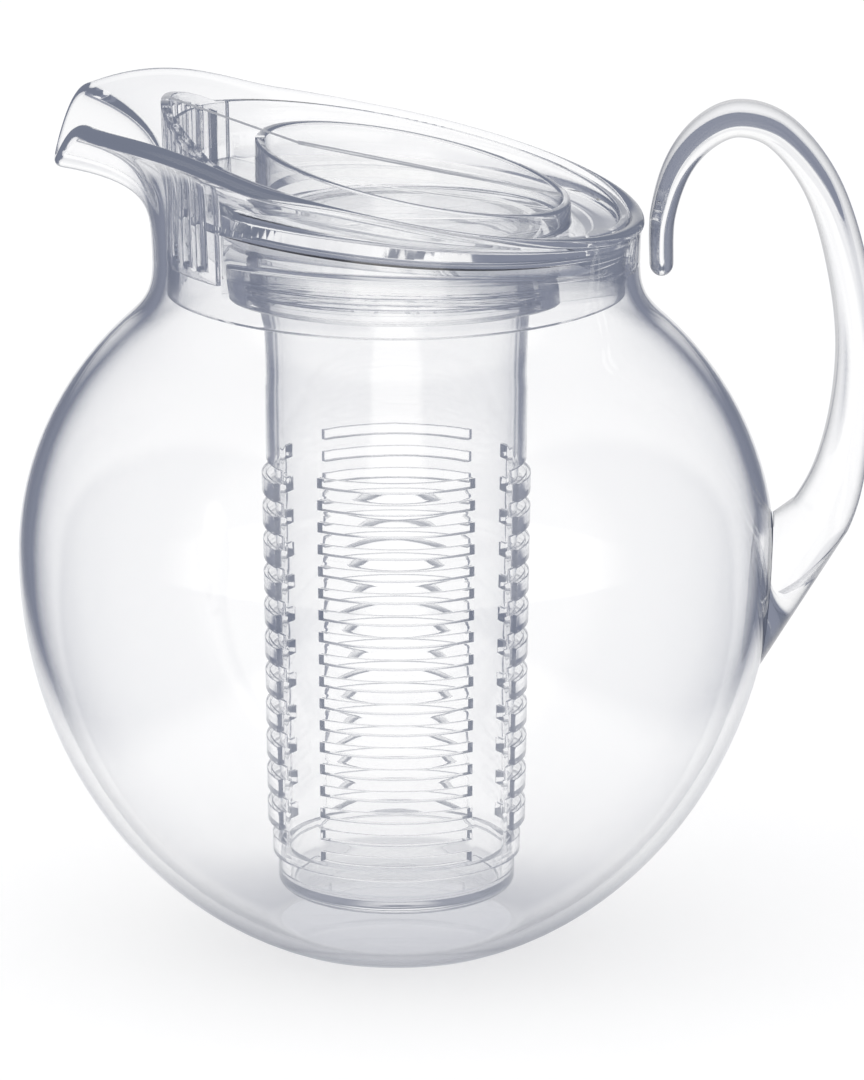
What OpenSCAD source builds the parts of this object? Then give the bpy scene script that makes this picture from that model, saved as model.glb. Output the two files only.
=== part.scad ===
// Fruit infuser pitcher: a clear globe jug with an open hook handle, a lid that lifts
// out of the neck, and a slotted infuser tube that screws into the lid.
// Millimetres. +Z is up, the spout points to -X and the handle to +X. The origin is
// the centre of the flat underside.

/* [Globe] */
// Widest outer radius of the globe
globe_r = 90.3; // [82:0.1:100]
// Height of the widest place above the table
globe_z = 95.7; // [88:0.1:99]
// Radius of the flat underside
base_r = 28.4; // [24:0.1:36]
// Height of the half ellipse above the widest place
globe_high = 79.9; // [72:0.1:90]
// Where on the upper half ellipse the shoulder starts, in degrees
shoulder_angle = 44; // [38:1:50]
// Thickness of the jug's wall
wall = 3.2; // [2.4:0.1:4]
// Thickness of the jug's floor
floor_t = 4; // [3:0.1:6]

/* [Neck, rim and spout] */
// Outer radius of the neck where it is narrowest
neck_r = 58; // [54:0.1:60]
// Rise from the start of the shoulder to the narrowest place of the neck
shoulder_rise = 15.8; // [13:0.1:20]
// Height of the neck from its narrowest place to the rim, on the axis
neck_h = 23.2; // [19:0.1:30]
// Outward lean of the neck's wall, in degrees
neck_draft = 2.3; // [1:0.1:4]
// Slant of the rim down towards the handle, in degrees
rim_tilt = 11.6; // [6:0.1:13]
// Thickness of the rolled rim
bead_t = 3.8; // [3.2:0.1:5]
// How far the lip stands out past the rim's circle
spout_out = 20.6; // [12:0.1:26]
// How far the lip's point droops below the rim's plane
lip_droop = 12.2; // [6:0.1:14]
// How far the rim arches above its plane on both sides of the lip
lip_arch = 2.4; // [0:0.1:4]

/* [Handle] */
// How far the handle's middle line stands out past the globe
handle_out = 19.2; // [15:0.1:28]
// How far the top of the arch stands above the rim's middle
handle_rise = 11.3; // [6:0.1:20]
// How far the root's middle sits below the globe's widest place
root_drop = 11.5; // [4:0.1:14]
// Thickness of the bar at the side of the hook, in the plane of the handle
handle_t = 10; // [8:0.1:12]
// Breadth of the bar at the side of the hook
handle_b = 20; // [16:0.1:24]
// Gap between the rim and the free leg
leg_gap = 0.6; // [0.4:0.1:2]

/* [Lid] */
// Clearance between the lid's skirt and the neck
lid_gap = 0.45; // [0.4:0.05:0.7]
// Thickness of the lid's walls
lid_t = 2.2; // [1.8:0.1:2.6]
// How far the skirt reaches below the neck's narrowest place
skirt_below = 6.5; // [4:0.1:9]
// How far the lid's top edge lies below the rim's plane
lid_sunk = 1; // [0.5:0.1:2]
// How far the plate lies below the rim, on the axis
plate_drop = 9.6; // [8:0.1:11]
// Slant of the plate down towards the handle, in degrees
plate_tilt = 5.1; // [3:0.1:7]
// Half of the arc that the pour guard covers, in degrees
guard_half_angle = 41; // [32:1:46]
// Height of the guard's point above the rim's middle
guard_rise = 16.6; // [12:0.1:20]
// Slant of the guard's top edge, in degrees
guard_tilt = 36.3; // [30:0.1:40]
// Number of slots in the guard
guard_slots = 12; // [6:2:14]
// Width of one slot of the guard
guard_slot_w = 2.4; // [1.6:0.1:3]
// Width of the frame above and below the guard's slots
guard_frame = 2.6; // [2:0.1:3.2]
// Width of the guard's upright frame at both ends, in degrees
guard_edge_angle = 3; // [2:0.5:5]
// Thickness of the grip
grip_t = 2.4; // [1.8:0.1:3.2]
// Slant of the fin's top edge, in degrees
fin_tilt = 19.8; // [17:0.1:22]
// How far the line of the fin's top edge crosses the axis below the rim
fin_drop = 3; // [2.4:0.1:4]
// How far the web's top edge stands above the rim's plane
web_rise = 0.6; // [0:0.1:1.5]
// Thickness of the rail along the web's top
rail_t = 4; // [3.4:0.1:5.5]
// Height of the rail at its end by the spout
rail_left = 8; // [5:0.1:10]
// Height of the rail at its end by the handle
rail_right = 3.6; // [2.5:0.1:5]

/* [Cap] */
// Outer radius of the finger recess
recess_r = 37.5; // [36:0.1:40]
// How far the recess is set off the axis towards the handle
recess_off = 4; // [2:0.1:6]
// How far the recess's floor lies below the plate, on the axis
recess_deep = 3.6; // [3:0.1:4.5]
// Depth of the socket below the recess's floor
socket_h = 14; // [12.5:0.1:17]
// Wall thickness of the socket
socket_t = 4; // [3.4:0.1:5]

/* [Infuser] */
// Outer radius of the tube at its top
tube_r = 31.6; // [29:0.1:33]
// How much the tube's radius shrinks towards its foot
tube_draft = 1.9; // [1:0.1:2.6]
// Wall thickness of the tube
tube_t = 2; // [1.6:0.1:2.4]
// Thickness of the ring that carries the thread
collar_t = 1.4; // [1:0.1:2]
// Height of the collar
collar_h = 12.4; // [11:0.1:12.5]
// Height of one turn of the thread
thread_pitch = 3.6; // [3:0.1:4]
// How far the thread stands out
thread_out = 1.2; // [0.8:0.1:1.4]
// Clearance between the collar and its socket
collar_gap = 0.3; // [0.25:0.05:0.5]
// Room between the infuser's foot and the jug's floor
foot_gap = 9.1; // [5:0.1:16]
// Height of the plain cup at the foot
foot_h = 8.9; // [8:0.1:12]
// How far the plain cup is stepped in from the tube's lower end
foot_step = 1.3; // [0.8:0.1:2]
// Thickness of the foot's floor
foot_floor = 2.6; // [2:0.1:3.2]
// Height of the plain stretch of tube under the collar
plain_h = 41; // [30:1:50]
// Rows of slots on the front and back
front_rows = 18; // [8:1:18]
// Rows of slots on the sides
side_rows = 12; // [6:1:12]
// Height of a slot on the front and back
front_slot_h = 2.4; // [1.6:0.1:2.8]
// Height of a slot on the sides
side_slot_h = 3.2; // [2:0.1:3.6]
// Half of the arc of a slot on the front and back, in degrees
front_half_angle = 37; // [26:1:40]
// Half of the arc of a slot on the sides, in degrees
side_half_angle = 28; // [20:1:34]
// How far the ribs between the side slots stand out
rib_out = 1.1; // [0.6:0.1:1.4]

/* [Hidden] */

// Overrun of every cut
over = 1;
// Fit between pieces that are bonded together
bond_fit = 0.05;
// Radius of the small rounded edges
edge_r = 2.5;
// Gap between the collar's top and the recess's floor above it
seat_gap = 0.3;
// Height of the spigot that centres the foot in the tube
spigot_h = 2;
// Turns of the thread, and the shares of its pitch that its crest and its root take up
thread_turns = 2;
crest_share = 0.22;
root_share = 0.42;
// Share that a rib takes up of the height and of the arc between its slots
rib_share = 0.9;
// Steps of a rounded edge
round_steps = 5;
clear_acrylic = [0.80, 0.85, 0.92, 0.45];
lid_acrylic = [0.70, 0.77, 0.88, 0.55];
tube_acrylic = [0.62, 0.72, 0.86, 0.6];

// Facets of the true curves
round_fn = 128;
// Steps round half of the jug, and the share of them that crowd at the spout
half_steps = 34;
crowd_share = 0.55;
// Steps along the jug's outline: lower arc, upper arc, shoulder and neck
low_steps = 10;
high_steps = 5;
shoulder_steps = 4;
neck_steps = 8;
bead_steps = 5;

// Depth of the half ellipse below the widest place, which the flat underside cuts
base_angle = asin(base_r / globe_r);
globe_low = globe_z / cos(base_angle);

// Heights that the pieces share
shoulder_z = globe_z + globe_high * sin(shoulder_angle);
waist_z = shoulder_z + shoulder_rise;
rim_z = waist_z + neck_h;
rim_r = neck_r + neck_h * tan(neck_draft);
spout_r = rim_r + spout_out;
plate_z = rim_z - plate_drop;
recess_z = plate_z - recess_deep;
socket_z = recess_z - lid_t - socket_h;
skirt_z = waist_z - skirt_below;
lid_top_z = rim_z - lid_sunk;

// Arc that droops at the lip, the middle of the arch beside it and half of the arch's span
droop_angle = 17;
arch_angle = 38;
arch_half_angle = 24;
// How late the neck spreads into the spout, and how late the wall swells into the rolled rim
spread_power = 5;
bead_power = 8;
// Share of the way to the neck's radius that the shoulder runs straight, and where it turns up
shoulder_share = 0.85;
turn_share = 0.4;
// Step of the outline's tangent
tangent_share = 0.01;

function mix(a, b, share) = a + (b - a) * share;
function unit(v) = v / norm(v);
function bezier(p, s) = mix(mix(mix(p[0], p[1], s), mix(p[1], p[2], s), s),
    mix(mix(p[1], p[2], s), mix(p[2], p[3], s), s), s);

// Height of the rim's slanted plane over x
function rim_plane(x) = rim_z - x * tan(rim_tilt);

// Outer radius of the rim at an angle from the spout: half of an ellipse on the spout's side
function rim_outline(a) = a < 90
    ? spout_r * rim_r / norm([rim_r * cos(a), spout_r * sin(a)])
    : neck_r + (rim_plane(-rim_r * cos(a)) - waist_z) * tan(neck_draft);

// A smooth hump from 0 through 1 at the middle back to 0
function hump(a, middle, half) = pow(1 - pow(min(1, abs(a - middle) / half), 2), 2);
function droop(a) = lip_droop * hump(a, 0, droop_angle) - lip_arch * hump(a, arch_angle, arch_half_angle);
// The rolled edge stands above the wall's end by half its thickness, and by all of it at the lip
function lip_share(a) = (rim_outline(a) - rim_r) / spout_out;
function edge_z(a) = rim_plane(-rim_outline(a) * cos(a)) - droop(a)
    - bead_t * (1 + max(0, lip_share(a))) / 2;

// The jug's outer outline at an angle from the spout. u runs 0 to 1 up the lower arc,
// to 2 up the upper arc, to 3 round the shoulder and to 4 up the neck.
function low_point(s) = let (t = mix(base_angle, 90, s))
    [globe_r * sin(t), globe_z - globe_low * cos(t)];
function high_point(s) = let (t = shoulder_angle * s)
    [globe_r * cos(t), globe_z + globe_high * sin(t)];
function shoulder_point(s) = let (
    start = high_point(1),
    fall = (neck_r - start[0]) * shoulder_share,
    bend = start + fall * [1, -globe_high * cos(shoulder_angle) / (globe_r * sin(shoulder_angle))])
    bezier([start, bend, [neck_r, mix(bend[1], waist_z, turn_share)], [neck_r, waist_z]], s);
function neck_point(a, s) = let (
    z = mix(waist_z, edge_z(a), s),
    spread = rim_outline(a) - neck_r - (edge_z(a) - waist_z) * tan(neck_draft))
    [neck_r + (z - waist_z) * tan(neck_draft) + spread * pow(s, spread_power), z];
function outer(a, u) = u <= 1 ? low_point(u) : u <= 2 ? high_point(u - 1)
    : u <= 3 ? shoulder_point(u - 2) : neck_point(a, u - 3);

function along(a, u) = unit(outer(a, min(4, u + tangent_share)) - outer(a, max(0, u - tangent_share)));
function outward(a, u) = let (t = along(a, u)) [t[1], -t[0]];
function swell(u) = (bead_t - wall) * pow(max(0, u - 3), bead_power);
function skin(a, u) = outer(a, u) + outward(a, u) * swell(u);
function inner(a, u) = let (p = outer(a, u) - outward(a, u) * wall) [p[0], max(p[1], floor_t)];
function bead(a, s) = skin(a, 4) - outward(a, 4) * bead_t / 2
    + (outward(a, 4) * cos(180 * s) + along(a, 4) * sin(180 * s)) * bead_t / 2;

// Stations up the outline, and angles round the jug, closer together at the spout
stations = concat(
    [for (i = [0:low_steps - 1]) i / low_steps],
    [for (i = [0:high_steps - 1]) 1 + i / high_steps],
    [for (i = [0:shoulder_steps - 1]) 2 + i / shoulder_steps],
    [for (i = [0:neck_steps]) 3 + i / neck_steps]);
half_angles = [for (i = [0:half_steps]) let (s = i / half_steps)
    180 * s * mix(1, s, crowd_share)];
angles = concat(half_angles, [for (i = [half_steps - 1:-1:1]) -half_angles[i]]);

function place(a, p) = [-p[0] * cos(a), -p[0] * sin(a), p[1]];
function jug_rings() = concat(
    [for (u = stations) [for (a = angles) place(a, skin(abs(a), u))]],
    [for (i = [1:bead_steps - 1]) [for (a = angles) place(a, bead(abs(a), i / bead_steps))]],
    [for (i = [len(stations) - 1:-1:0]) [for (a = angles) place(a, inner(abs(a), stations[i]))]]);

// A closed skin over rings that all have as many points
module loft(rings) {
    n = len(rings[0]);
    last = (len(rings) - 1) * n;
    polyhedron(
        points = [for (ring = rings) each ring],
        faces = concat(
            [[for (i = [0:n - 1]) i]],
            [for (k = [0:len(rings) - 2], i = [0:n - 1]) [k * n + i, (k + 1) * n + i, k * n + (i + 1) % n]],
            [for (k = [0:len(rings) - 2], i = [0:n - 1])
                [(k + 1) * n + i, (k + 1) * n + (i + 1) % n, k * n + (i + 1) % n]],
            [[for (i = [n - 1:-1:0]) last + i]]));
}

module jug_body() {
    color(clear_acrylic) loft(jug_rings());
}

// Handle: places along the bar's middle line as shares. Across runs from the free leg to
// the furthest reach, up from the root to the arch's top, then thickness and breadth.
// In the second table, across runs from the globe's widest radius to the furthest reach.
tip_share = 0.58;
tip_t = handle_t * tip_share;
leg_x = rim_r + bead_t - wall + leg_gap + tip_t / 2;
reach_x = globe_r + handle_out;
root_z = globe_z - root_drop;
arch_z = rim_z + handle_rise;
bar_shares = [
    [0, 0.7, tip_share, 0.7],
    [0.006, 0.8, 0.62, 0.75],
    [0.085, 0.902, 0.7, 0.8],
    [0.226, 0.972, 0.8, 0.84],
    [0.403, 1, 0.86, 0.86],
    [0.616, 0.968, 0.88, 0.88],
    [0.825, 0.857, 0.92, 0.92],
    [0.953, 0.691, 0.98, 0.96],
    [1, 0.513, 1, 1]];
root_shares = [
    [0.88, 0.326, 1.14, 1.08],
    [0.583, 0.175, 1.5, 1.2],
    [-0.17, 0, 1.9, 1.4]];
function bar_place(start, p) =
    [mix(start, reach_x, p[0]), mix(root_z, arch_z, p[1]), handle_t * p[2], handle_b * p[3]];
bar_points = concat(
    [for (p = bar_shares) bar_place(leg_x, p)],
    [for (p = root_shares) bar_place(globe_r, p)]);
bar_sides = 20;
bar_steps = 3;
root_steps = 4;
tip_steps = 3;

// A smooth curve through the places: Catmull and Rom's spline
function spline(p, i, s) = let (
    p0 = p[max(0, i - 1)], p1 = p[i], p2 = p[i + 1], p3 = p[min(len(p) - 1, i + 2)])
    (2 * p1 + (p2 - p0) * s + (2 * p0 - 5 * p1 + 4 * p2 - p3) * s * s
        + (3 * p1 - p0 - 3 * p2 + p3) * s * s * s) / 2;
function bar_at(u) = let (i = min(len(bar_points) - 2, floor(u))) spline(bar_points, i, u - i);
function bar_way(u) = let (
    d = bar_at(min(len(bar_points) - 1, u + tangent_share)) - bar_at(max(0, u - tangent_share)))
    unit([d[0], d[1]]);
// One oval section, shrunk by a share and moved along the bar
function bar_ring(u, share, move) = let (p = bar_at(u), w = bar_way(u)) [
    for (i = [0:bar_sides - 1]) let (
        t = 360 * i / bar_sides,
        side = p[2] / 2 * share * cos(t),
        x = p[0] + w[1] * side + w[0] * move,
        z = p[1] - w[0] * side + w[1] * move)
        [x, p[3] / 2 * share * sin(t), z]];
// A point carried along a way until it meets the globe
function seat(p, w) = let (
    rx = globe_r + 2 * bond_fit,
    rz = globe_low + 2 * bond_fit,
    a = pow(w[0] / rx, 2) + pow(w[1] / rz, 2),
    b = p[0] * w[0] / (rx * rx) + (p[2] - globe_z) * w[1] / (rz * rz),
    c = (p[0] * p[0] + p[1] * p[1]) / (rx * rx) + pow((p[2] - globe_z) / rz, 2) - 1,
    s = (-b - sqrt(b * b - a * c)) / a)
    [p[0] + w[0] * s, p[1], p[2] + w[1] * s];
function root_ring(share) = let (u = len(bar_points) - 1, w = bar_way(u))
    [for (p = bar_ring(u, share, 0)) seat(p, w)];
function handle_rings() = let (
    last = len(bar_points) - 2,
    straight = bar_ring(last, 1, 0),
    root = root_ring(1),
    tip_r = bar_at(0)[2] / 2)
    concat(
        [for (i = [1:tip_steps]) let (t = 90 * i / (tip_steps + 1))
            bar_ring(0, sin(t), tip_r * (1 - cos(t)) - tip_r)],
        [for (i = [0:last * bar_steps]) bar_ring(i / bar_steps, 1, 0)],
        [for (i = [1:root_steps]) mix(straight, root, i / root_steps)],
        [root_ring(0.6), root_ring(0.2)]);

module handle() {
    color(clear_acrylic) loft(handle_rings());
}

// Radius of the skirt at a height, outside and inside
function skirt_r(z) = neck_r - wall - lid_gap + (z - waist_z) * tan(neck_draft);
function skirt_in(z) = skirt_r(z) - lid_t;

// Everything above a slanted plane that crosses the axis at a height
module above(z, tilt) {
    span = 2 * (spout_r + globe_r);
    translate([0, 0, z])
        rotate([0, tilt, 0])
            translate([-span / 2, -span / 2, 0])
                cube([span, span, span]);
}

// A ring between two heights with the skirt's taper, its wall made thicker inside and outside
module skirt_ring(low, high, inside, outside) {
    rotate_extrude($fn = round_fn)
        polygon([
            [skirt_in(low) - inside, low],
            [skirt_r(low) + outside, low],
            [skirt_r(high) + outside, high],
            [skirt_in(high) - inside, high]]);
}

// A wedge from the axis towards an angle, wider than the lid
module wedge(a, half, low, high) {
    reach = 2 * rim_r;
    translate([0, 0, low])
        rotate([0, 0, a])
            linear_extrude(height = high - low)
                polygon([[0, 0], [reach, -reach * tan(half)], [reach, reach * tan(half)]]);
}

guard_low_z = waist_z + edge_r;
guard_top_z = rim_z + guard_rise;
// Where the guard's slanted top would cross the axis
guard_axis_z = guard_top_z - skirt_r(rim_z) * tan(guard_tilt);

// The piece of the skirt's ring that the guard takes up, or the room that it needs
module guard_blank(inside, outside) {
    intersection() {
        skirt_ring(guard_low_z - outside, guard_top_z + over, inside, outside);
        wedge(180, guard_half_angle, guard_low_z, guard_top_z + over);
    }
}

module lid_body() {
    color(lid_acrylic)
        difference() {
            union() {
                difference() {
                    skirt_ring(skirt_z, guard_top_z, 0, 0);
                    above(lid_top_z, rim_tilt);
                }
                plate();
            }
            guard_blank(bond_fit, over);
        }
}

// The slanted plate between the skirt and the cap
module plate() {
    difference() {
        cylinder(r = skirt_r(waist_z) - lid_t / 2, h = rim_z, $fn = round_fn);
        above(plate_z, plate_tilt);
        rotate([180, 0, 0])
            above(lid_t - plate_z, -plate_tilt);
        translate([0, 0, -over])
            cylinder(r = socket_r + socket_t + bond_fit, h = recess_z + over, $fn = round_fn);
        translate([recess_off, 0, recess_z - lid_t])
            cylinder(r = recess_r + bond_fit, h = rim_z, $fn = round_fn);
    }
}

module pour_guard() {
    color(lid_acrylic)
        difference() {
            guard_blank(0, 0);
            intersection() {
                above(guard_axis_z, guard_tilt);
                above(lid_top_z, rim_tilt);
            }
            for (i = [0:guard_slots - 1]) guard_slot(i);
        }
}

// One upright slot of the guard, its top just under the slanted edge
module guard_slot(i) {
    step = 2 * (guard_half_angle - guard_edge_angle) / guard_slots;
    a = (i - (guard_slots - 1) / 2) * step;
    r = skirt_r(rim_z);
    low = guard_low_z + guard_frame;
    high = guard_axis_z + r * cos(a) * tan(guard_tilt) - guard_frame;
    rotate([0, 0, 180 + a])
        translate([r - 2 * lid_t, -guard_slot_w / 2, low])
            cube([3 * lid_t, guard_slot_w, high - low]);
}

// Top edges of the grip: the fin falls from the guard's point, the web follows the rim
function fin_z(x) = rim_z - fin_drop - x * tan(fin_tilt);
function web_z(x) = rim_plane(x) + web_rise;

module lid_grip() {
    turn = -(fin_drop + web_rise) / (tan(fin_tilt) - tan(rim_tilt));
    right = recess_off + recess_r - lid_t - bond_fit;
    low = recess_z + bond_fit;
    color(lid_acrylic)
        difference() {
            union() {
                upright(grip_t, [
                    [bond_fit - skirt_in(low), low],
                    [bond_fit - skirt_in(guard_top_z), fin_z(-skirt_in(guard_top_z))],
                    [turn, web_z(turn)],
                    [right, web_z(right)],
                    [right, low]]);
                upright(rail_t, [
                    [turn, web_z(turn) - rail_left],
                    [turn, web_z(turn)],
                    [right, web_z(right)],
                    [right, web_z(right) - rail_right]]);
            }
            difference() {
                translate([recess_off, 0, 0])
                    cylinder(r = recess_r + bond_fit, h = guard_top_z, $fn = round_fn);
                translate([recess_off, 0, -over])
                    cylinder(r = recess_r - lid_t - bond_fit, h = guard_top_z + 2 * over, $fn = round_fn);
                above(rim_z + bond_fit, rim_tilt);
            }
            difference() {
                rotate([180, 0, 0])
                    above(-plate_z - bond_fit, -plate_tilt);
                translate([recess_off, 0, 0])
                    cylinder(r = recess_r, h = guard_top_z, $fn = round_fn);
            }
        }
}

// An upright plate in the middle plane, from its outline seen from the side
module upright(t, outline) {
    rotate([90, 0, 0])
        translate([0, 0, -t / 2])
            linear_extrude(height = t)
                polygon(outline);
}

socket_r = tube_r + collar_t + thread_out + collar_gap;

module infuser_cap() {
    color(lid_acrylic) {
        difference() {
            union() {
                translate([recess_off, 0, recess_z - lid_t])
                    cylinder(r = recess_r, h = guard_top_z - recess_z, $fn = round_fn);
                rotate_extrude($fn = round_fn)
                    round_foot(socket_r + socket_t, socket_z, recess_z, edge_r);
            }
            above(rim_z, rim_tilt);
            translate([recess_off, 0, recess_z])
                cylinder(r = recess_r - lid_t, h = guard_top_z, $fn = round_fn);
            translate([0, 0, socket_z - over])
                cylinder(r = socket_r, h = socket_h + over, $fn = round_fn);
        }
        for (i = [0:thread_turns - 1])
            thread_ring(socket_r, thread_z(i) + thread_pitch / 2, -thread_out);
    }
}

// Half of a disc seen from the side, with its lower edge rounded
module round_foot(r, low, high, round) {
    polygon(concat([[0, high], [0, low]],
        [for (i = [0:round_steps]) let (t = 90 * i / round_steps)
            [r - round + round * sin(t), low + round - round * cos(t)]],
        [[r, high]]));
}

// One ridge of the thread, outwards or, with a negative reach, inwards
function thread_z(i) = collar_z + collar_h / 2 + (i - thread_turns / 2) * thread_pitch;
module thread_ring(r, z, reach) {
    crest = thread_pitch * crest_share / 2;
    base = thread_pitch * root_share / 2;
    rotate_extrude($fn = round_fn)
        polygon([[r - sign(reach) * bond_fit, z - base], [r, z - base], [r + reach, z - crest],
            [r + reach, z + crest], [r, z + base], [r - sign(reach) * bond_fit, z + base]]);
}

collar_z = recess_z - lid_t - seat_gap - collar_h;

module infuser_collar() {
    color(tube_acrylic) {
        difference() {
            translate([0, 0, collar_z])
                cylinder(r = tube_r + collar_t, h = collar_h, $fn = round_fn);
            translate([0, 0, collar_z - over])
                cylinder(r = tube_r + bond_fit, h = collar_h + 2 * over, $fn = round_fn);
        }
        for (i = [0:thread_turns - 1])
            thread_ring(tube_r + collar_t, thread_z(i), thread_out);
    }
}

foot_z = floor_t + foot_gap;
foot_r = tube_r - tube_draft - foot_step;
tube_z = foot_z + foot_h;
slot_low_z = tube_z + spigot_h;
slot_high_z = collar_z - plain_h;
// Outer radius of the tube at a height
function tube_at(z) = tube_r - tube_draft * max(0, collar_z - z) / (collar_z - tube_z);

module infuser_tube() {
    top = collar_z + collar_h;
    side_pitch = (slot_high_z - slot_low_z) / side_rows;
    color(tube_acrylic)
        difference() {
            union() {
                rotate_extrude($fn = round_fn)
                    polygon([[tube_at(tube_z) - tube_t, tube_z], [tube_at(tube_z), tube_z],
                        [tube_r, collar_z], [tube_r, top],
                        [tube_r - tube_t, top], [tube_r - tube_t, collar_z]]);
                for (a = [90, 270], i = [1:side_rows - 1])
                    rib(a, slot_low_z + i * side_pitch, (side_pitch - side_slot_h) * rib_share);
            }
            for (a = [0, 180])
                slot_column(a, front_rows, front_slot_h, front_half_angle);
            for (a = [90, 270])
                slot_column(a, side_rows, side_slot_h, side_half_angle);
        }
}

// A column of slots round the tube, seen from an angle where 0 is the front
module slot_column(a, rows, h, half) {
    pitch = (slot_high_z - slot_low_z) / rows;
    for (i = [0:rows - 1])
        wedge(a - 90, half, slot_low_z + (i + 0.5) * pitch - h / 2, slot_low_z + (i + 0.5) * pitch + h / 2);
}

// A rounded bar that stands out of the tube between two side slots
module rib(a, z, h) {
    r = tube_at(z);
    half = side_half_angle * rib_share;
    rotate([0, 0, a - 90 - half])
        rotate_extrude(angle = 2 * half, $fn = round_fn)
            polygon(concat([[r - tube_t / 2, z - h / 2]],
                [for (i = [0:round_steps]) let (t = 180 * i / round_steps)
                    [r + rib_out * sin(t), z - h / 2 * cos(t)]],
                [[r - tube_t / 2, z + h / 2]]));
}

module infuser_base() {
    spigot = tube_at(tube_z) - tube_t - 2 * bond_fit;
    color(tube_acrylic)
        difference() {
            rotate_extrude($fn = round_fn) {
                round_foot(foot_r, foot_z, tube_z, edge_r);
                translate([0, tube_z - over]) square([spigot, over + spigot_h]);
            }
            translate([0, 0, foot_z + foot_floor])
                cylinder(r = spigot - tube_t, h = foot_h + spigot_h, $fn = round_fn);
        }
}

jug_body();
handle();
lid_body();
pour_guard();
lid_grip();
infuser_cap();
infuser_collar();
infuser_tube();
infuser_base();
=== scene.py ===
"""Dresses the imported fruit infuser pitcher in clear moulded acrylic, with a studio, soft light and a camera.

Sizes are real ones in millimetres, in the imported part's frame: the spout points to -X, the handle to +X,
+Z is up and the origin is the centre of the underside. Meshes are in metres.
"""

import logging
import math
from collections.abc import Callable, Sequence
from dataclasses import dataclass
from enum import Enum

import bpy
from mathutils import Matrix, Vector

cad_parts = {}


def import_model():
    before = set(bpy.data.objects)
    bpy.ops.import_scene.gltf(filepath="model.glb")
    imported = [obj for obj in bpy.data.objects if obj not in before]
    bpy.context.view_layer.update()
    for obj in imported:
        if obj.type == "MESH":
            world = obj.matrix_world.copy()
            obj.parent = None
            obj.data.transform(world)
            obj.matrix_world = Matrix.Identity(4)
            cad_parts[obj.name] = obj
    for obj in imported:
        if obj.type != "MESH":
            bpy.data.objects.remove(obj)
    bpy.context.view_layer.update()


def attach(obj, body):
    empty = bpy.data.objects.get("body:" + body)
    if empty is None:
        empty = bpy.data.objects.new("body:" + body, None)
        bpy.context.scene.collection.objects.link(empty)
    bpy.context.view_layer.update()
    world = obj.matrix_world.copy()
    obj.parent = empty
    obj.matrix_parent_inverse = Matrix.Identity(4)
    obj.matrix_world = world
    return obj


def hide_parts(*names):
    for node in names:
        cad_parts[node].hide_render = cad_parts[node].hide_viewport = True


# A number, or a socket that gives one
Figure = float | bpy.types.NodeSocket
LOG = logging.getLogger("pitcher")
MM = 0.001
# Points closer than this are one point
WELD_MM = 0.004
TURN = 360
HALF_TURN = 180
QUARTER_TURN = 90
# Small step along a curve, to find its way there
STEP = 0.01
# The thread that holds the infuser in the lid. The shares give half a turn's width, of the pitch.
THREAD_PITCH = 3.6
THREAD_OUT = 1.2
THREAD_ROOT_SHARE = 0.21
THREAD_CREST_SHARE = 0.11
# Steps of a small rounding in a profile
ROUND_STEPS = 4
# Rays that the eye sees a surface by: straight on, in a gloss, and through something clear
SEEN_BY = ("Is Camera Ray", "Is Glossy Ray", "Is Transmission Ray")


class Body(Enum):
    """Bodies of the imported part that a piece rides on."""

    JUG = "jug"
    LID = "lid"
    INFUSER = "infuser"


class Slot(Enum):
    """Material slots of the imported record."""

    BODY = "clear_acrylic"
    LID = "lid_acrylic"
    INFUSER = "infuser_acrylic"


def sin(degrees: float) -> float:
    """Sine of an angle in degrees."""
    return math.sin(math.radians(degrees))


def cos(degrees: float) -> float:
    """Cosine of an angle in degrees."""
    return math.cos(math.radians(degrees))


def tan(degrees: float) -> float:
    """Tangent of an angle in degrees."""
    return math.tan(math.radians(degrees))


def mix(a: float | Vector, b: float | Vector, share: float) -> float | Vector:
    """Gives what lies a share of the way from a to b."""
    return a + (b - a) * share


def hump(a: float, middle: float, half: float) -> float:
    """A smooth hump from 0 through 1 at the middle back to 0."""
    return (1 - min(1, abs(a - middle) / half) ** 2) ** 2


def bezier(points: Sequence[Vector], s: float) -> Vector:
    """A point on a cubic curve.

    Args:
        points: The curve's two ends and its two handles, in order.
        s: The share of the way along.

    Returns:
        The point.
    """
    while len(points) > 1:
        points = [mix(p, q, s) for p, q in zip(points, points[1:])]
    return points[0]


def around(r: float, a: float, z: float) -> Vector:
    """A place at a radius, an angle from +X in degrees and a height."""
    return Vector((r * cos(a), r * sin(a), z))


def arc(
    centre: Sequence[float], r: float, start: float, turn: float = QUARTER_TURN, steps: int = ROUND_STEPS
) -> list[Vector]:
    """Points of an arc in a profile.

    Args:
        centre: The centre, as radius and height.
        r: The arc's radius.
        start: Angle of the first point in degrees, from outwards towards up.
        turn: Angle from the first point to the last.
        steps: Number of steps between them.

    Returns:
        The points, as radius and height.
    """
    angles = [start + turn * i / steps for i in range(steps + 1)]
    return [Vector((centre[0] + r * cos(a), centre[1] + r * sin(a))) for a in angles]


def thread_ridge(r: float, z: float, side: int) -> list[Vector]:
    """One turn of the thread in a profile.

    Args:
        r: Radius of the wall that carries it.
        z: Height of its middle.
        side: 1 where it stands outwards and is drawn upwards, -1 where inwards and downwards.

    Returns:
        The points, as radius and height.
    """
    root, crest = (side * share * THREAD_PITCH for share in (THREAD_ROOT_SHARE, THREAD_CREST_SHARE))
    ridge_r = r + side * THREAD_OUT
    return [Vector(p) for p in ((r, z - root), (ridge_r, z - crest), (ridge_r, z + crest), (r, z + root))]


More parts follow.
